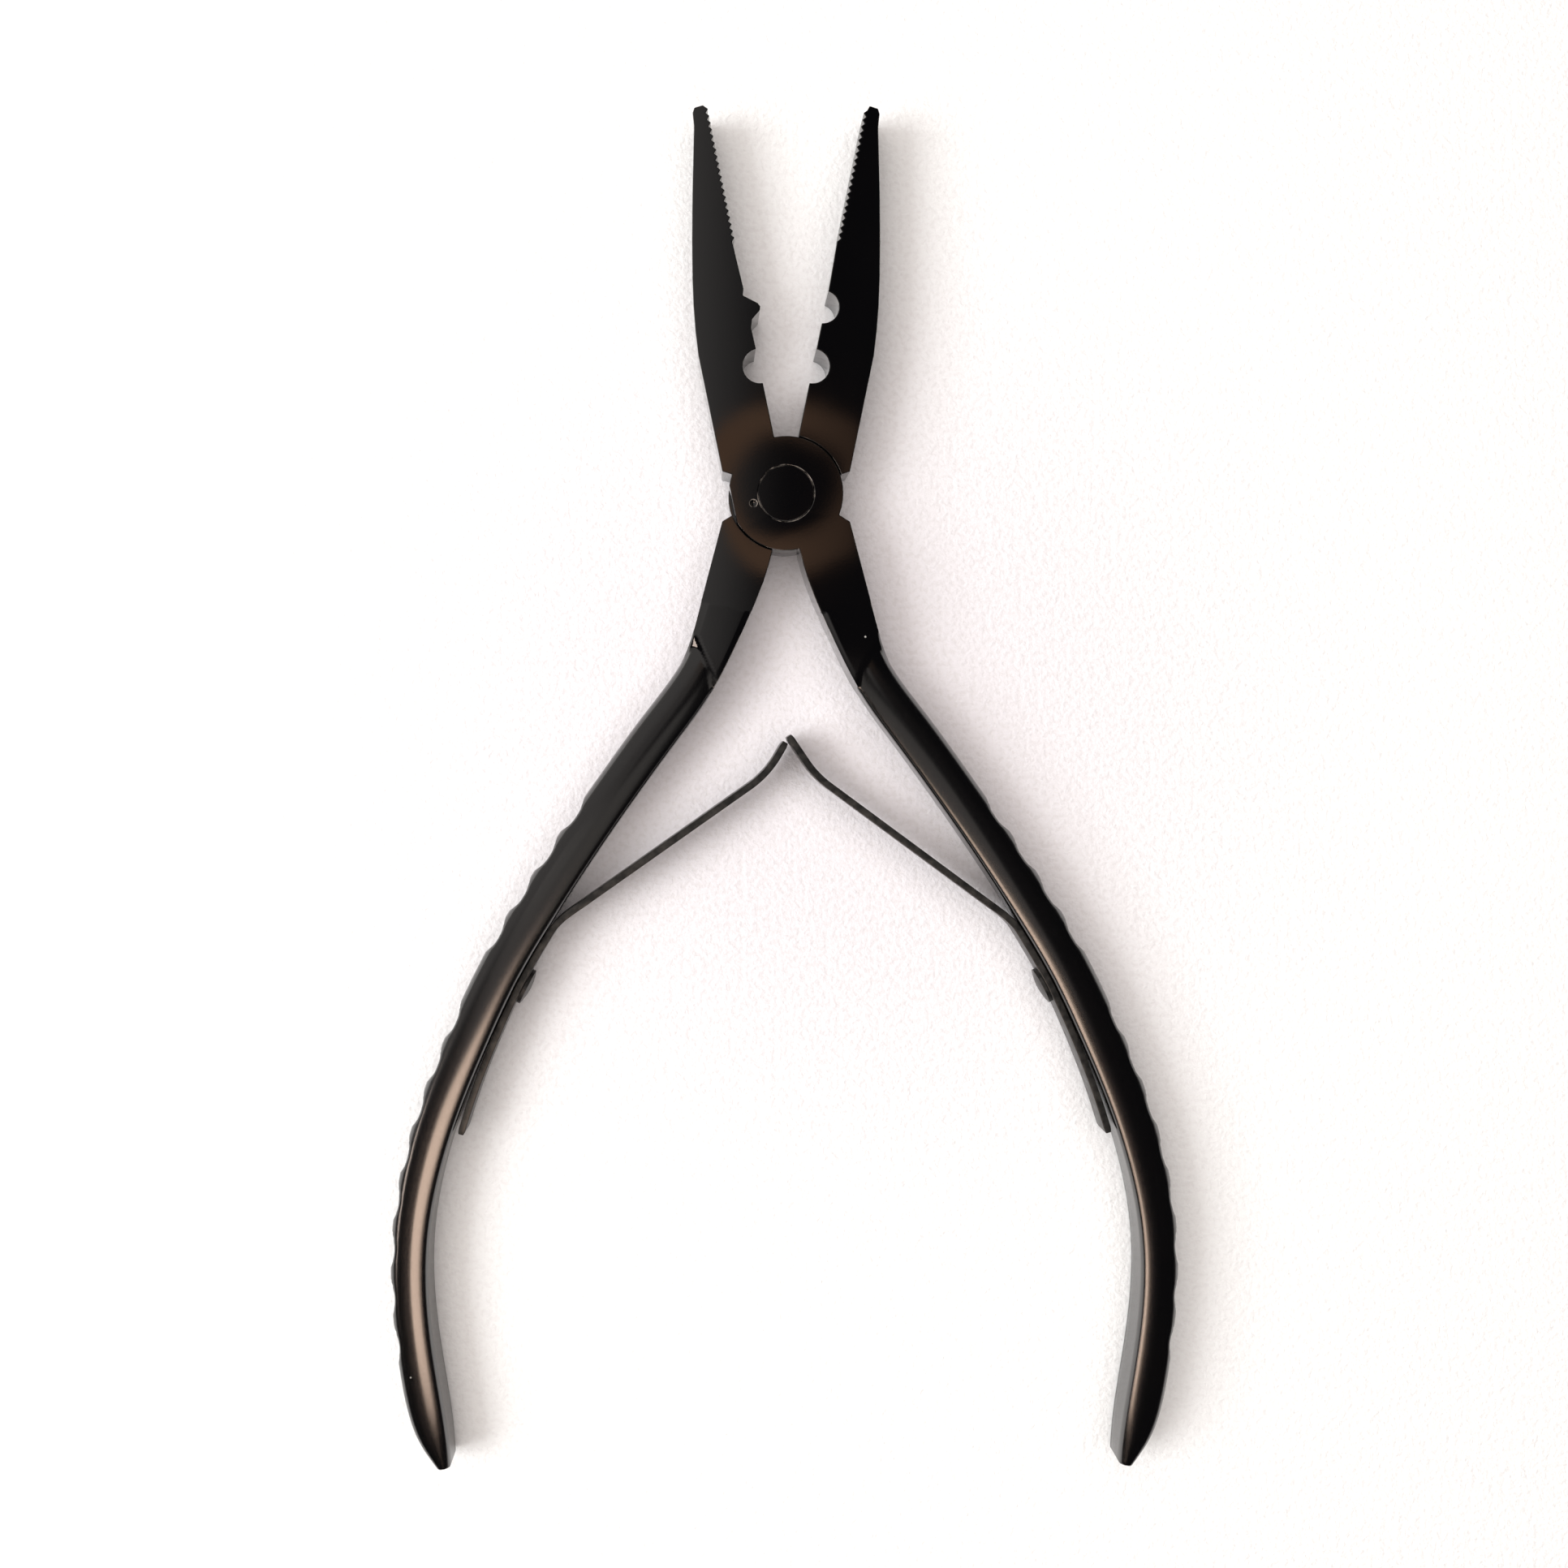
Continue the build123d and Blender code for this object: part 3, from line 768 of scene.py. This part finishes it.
def coated_steel(name, satin_handles=True):
    """Near-black coating over polished steel, glossy on the flats and satin on the handles."""
    made, tree_nodes, links, shader = material(name)
    coordinates = tree_nodes.new("ShaderNodeTexCoord").outputs["Object"]
    clouds = noise(tree_nodes, links, coordinates, COAT_CLOUD_SCALE, 3).outputs["Fac"]
    grain = noise(tree_nodes, links, coordinates, COAT_GRAIN_SCALE, 4, 0.65).outputs["Fac"]
    roughness = ramp(tree_nodes, links, clouds, *NOISE_RANGE, *FLAT_ROUGHNESS)
    if satin_handles:
        roughness = satin_below_neck(tree_nodes, links, coordinates, grain, roughness)
    links.new(coat_colour(tree_nodes, links, coordinates, clouds), shader.inputs["Base Color"])
    links.new(roughness, shader.inputs["Roughness"])
    bump(tree_nodes, links, shader, grain, 0.05, 0.00001)
    shader.inputs["IOR"].default_value = COAT_IOR
    return made


def spring_steel():
    """Blackened spring strip, slightly worn and mottled."""
    made, tree_nodes, links, shader = material("spring_steel")
    coordinates = tree_nodes.new("ShaderNodeTexCoord").outputs["Object"]
    clouds = noise(tree_nodes, links, coordinates, STRIP_CLOUD_SCALE, 6, 0.65).outputs["Fac"]
    worn = worn_edges(tree_nodes, links, coordinates)
    mottle = ramp(tree_nodes, links, clouds, *STRIP_CLOUDS, 0, 1)
    colour = blend_colours(tree_nodes, links, mottle, *STRIP_COLOURS)
    colour = blend_colours(tree_nodes, links, worn, colour, STRIP_WORN)
    roughness = ramp(tree_nodes, links, clouds, *NOISE_RANGE, *STRIP_ROUGHNESS)
    links.new(colour, shader.inputs["Base Color"])
    links.new(roughness, shader.inputs["Roughness"])
    bump(tree_nodes, links, shader, clouds, 0.2, 0.00002)
    shader.inputs["Metallic"].default_value = STRIP_METALLIC
    return made


def floor_material():
    """White leather-grained card with a painted lavender-grey shade in the middle, where the tool
    lies, and grain pits that darken more there.
    """
    made, tree_nodes, links, shader = material("paper")
    coordinates = tree_nodes.new("ShaderNodeTexCoord").outputs["Object"]
    away = tree_nodes.new("ShaderNodeVectorMath")
    away.operation = "DISTANCE"
    away.inputs[1].default_value = CARD_SHADE_MIDDLE
    links.new(coordinates, away.inputs[0])
    # Painted shade: darker and lavender near the middle, fading to plain white further out
    out_of_shade = mask(tree_nodes, links, away.outputs["Value"], *CARD_SHADE_FADE)
    colour = blend_colours(tree_nodes, links, out_of_shade, *CARD_SHADED_AND_PLAIN)
    grain = noise(tree_nodes, links, coordinates, CARD_GRAIN_SCALE, 3, 0.55).outputs["Fac"]
    pits = mask(tree_nodes, links, grain, *CARD_PITS)
    shade_here = ramp(tree_nodes, links, out_of_shade, 0, 1, *CARD_PIT_SHADE)
    shade_share = maths(tree_nodes, links, "MULTIPLY", pits, shade_here)
    colour = blend_colours(tree_nodes, links, shade_share, colour, CARD_PIT_COLOUR)
    links.new(colour, shader.inputs["Base Color"])
    shader.inputs["Roughness"].default_value = CARD_ROUGHNESS
    bump(tree_nodes, links, shader, grain, 1.0, 0.0002)
    return made


def dress(piece, made):
    """Gives a piece one material."""
    piece.data.materials.clear()
    piece.data.materials.append(made)


# ---------------------------------------------------------------- studio

def area_light(name, place_at, aim, size, power, colour):
    """A rectangular light at a place, turned to face a point."""
    data = bpy.data.lights.new(name, "AREA")
    data.shape = "RECTANGLE"
    data.size, data.size_y = size
    data.energy = power
    data.color = colour
    light = bpy.data.objects.new(name, data)
    light.location = place_at
    light.rotation_euler = (Vector(aim) - Vector(place_at)).to_track_quat("-Z", "Y").to_euler()
    light.visible_camera = False
    bpy.context.scene.collection.objects.link(light)
    return light


def room_ring(tree_nodes, links, direction, across, along, height):
    """Where the ring overhead shows: a wavering circle that fades to the right."""
    off_x = maths(tree_nodes, links, "SUBTRACT", across, RING_CENTRE[0])
    off_y = maths(tree_nodes, links, "SUBTRACT", along, RING_CENTRE[1])
    squares = [maths(tree_nodes, links, "MULTIPLY", off, off) for off in (off_x, off_y)]
    away = maths(tree_nodes, links, "SQRT", maths(tree_nodes, links, "ADD", *squares))
    waver = noise(tree_nodes, links, direction, RING_WAVER_SCALE, 2).outputs["Fac"]
    waver = ramp(tree_nodes, links, waver, *NOISE_RANGE, -RING_WAVER, RING_WAVER)
    away = maths(tree_nodes, links, "ADD", away, waver)
    limits = (
        mask(tree_nodes, links, away, *RING_OUTER_EDGE),
        mask(tree_nodes, links, height, *OVERHEAD),
        ramp(tree_nodes, links, off_x, *RING_FADE),
    )
    ring = mask(tree_nodes, links, away, *RING_INNER_EDGE)
    for limit in limits:
        ring = maths(tree_nodes, links, "MULTIPLY", ring, limit)
    return ring


def sky():
    """A dark room with a warm ring overhead, pale haze on the left and pale horizons."""
    world = bpy.data.worlds.new("room")
    bpy.context.scene.world = world
    world.use_nodes = True
    tree_nodes, links = world.node_tree.nodes, world.node_tree.links
    direction = tree_nodes.new("ShaderNodeTexCoord").outputs["Generated"]
    split = tree_nodes.new("ShaderNodeSeparateXYZ")
    links.new(direction, split.inputs["Vector"])
    height = split.outputs["Z"]
    across = maths(tree_nodes, links, "DIVIDE", split.outputs["X"], height)
    along = maths(tree_nodes, links, "DIVIDE", split.outputs["Y"], height)
    leftward = mask(tree_nodes, links, across, *HAZE_ACROSS)
    upward = mask(tree_nodes, links, along, *HAZE_ALONG)
    haze = maths(tree_nodes, links, "MULTIPLY", leftward, upward)
    ring = room_ring(tree_nodes, links, direction, across, along, height)
    horizon = mask(tree_nodes, links, height, *HORIZON)
    colour = blend_colours(tree_nodes, links, haze, ROOM_DARK, ROOM_HAZE)
    colour = blend_colours(tree_nodes, links, ring, colour, ROOM_WARM)
    colour = blend_colours(tree_nodes, links, horizon, colour, ROOM_PALE)
    background = tree_nodes["Background"]
    links.new(colour, background.inputs["Color"])
    background.inputs["Strength"].default_value = 1.0


def floor_card():
    """The card that the tool lies on."""
    signs = ((-1, -1), (1, -1), (1, 1), (-1, 1))
    mesh = bpy.data.meshes.new("floor")
    mesh.from_pydata([(x * FLOOR_HALF, y * FLOOR_HALF, 0) for x, y in signs], [], [(0, 1, 2, 3)])
    floor = new_piece("floor", mesh)
    floor.location.z = -FLOOR_DROP
    dress(floor, floor_material())


def lights():
    """Two soft lights that the gloss doesn't show and three small ones that only it shows."""
    below_lamp = (LAMP_PLACE[0], LAMP_PLACE[1], 0)
    below_glow = (GLOW_PLACE[0], GLOW_PLACE[1], 0)
    soft = (
        area_light("fill", FILL_PLACE, TOOL_MIDDLE, FILL_SIZE, FILL_POWER, FILL_COLOUR),
        area_light("window", WINDOW_PLACE, TOOL_MIDDLE, WINDOW_SIZE, WINDOW_POWER, WINDOW_COLOUR),
    )
    small = (
        area_light("lamp", LAMP_PLACE, below_lamp, LAMP_SIZE, LAMP_POWER, LAMP_COLOUR),
        area_light("glow", GLOW_PLACE, below_glow, GLOW_SIZE, GLOW_POWER, GLOW_COLOUR),
        area_light("glint", GLINT_PLACE, LEFT_FACET, GLINT_SIZE, GLINT_POWER, GLINT_COLOUR),
    )
    for light in soft:
        light.visible_glossy = False
    for light in small:
        light.visible_diffuse = False


def camera():
    """The view straight down on the tool, a little to one side."""
    data = bpy.data.cameras.new("camera")
    data.lens = CAMERA_LENS
    data.sensor_width = CAMERA_SENSOR
    data.shift_x, data.shift_y = CAMERA_SHIFT
    data.clip_start = CAMERA_CLIP
    seen = bpy.data.objects.new("camera", data)
    seen.location = CAMERA_PLACE
    seen.rotation_euler = (math.radians(CAMERA_TILT[0]), math.radians(CAMERA_TILT[1]), 0)
    bpy.context.scene.collection.objects.link(seen)
    bpy.context.scene.camera = seen


rings = handle_rings()
steel = coated_steel("coated_steel")
rivet = coated_steel("rivet_steel", satin_handles=False)
spring = spring_steel()
upper = half("upper_forging", "upper_half", 1, rings)
lower = half("lower_forging", "lower_half", -1, rings)
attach(upper, "upper")
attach(lower, "lower")
dress(upper, steel)
dress(lower, steel)
for hand in ("left", "right"):
    dress(leaf_spring(hand), spring)
    dress(nodes[f"{hand}_spring_rivet"], spring)
dress(nodes["pivot_rivet"], rivet)
floor_card()
sky()
lights()
camera()
bpy.context.scene.view_settings.view_transform = "Standard"
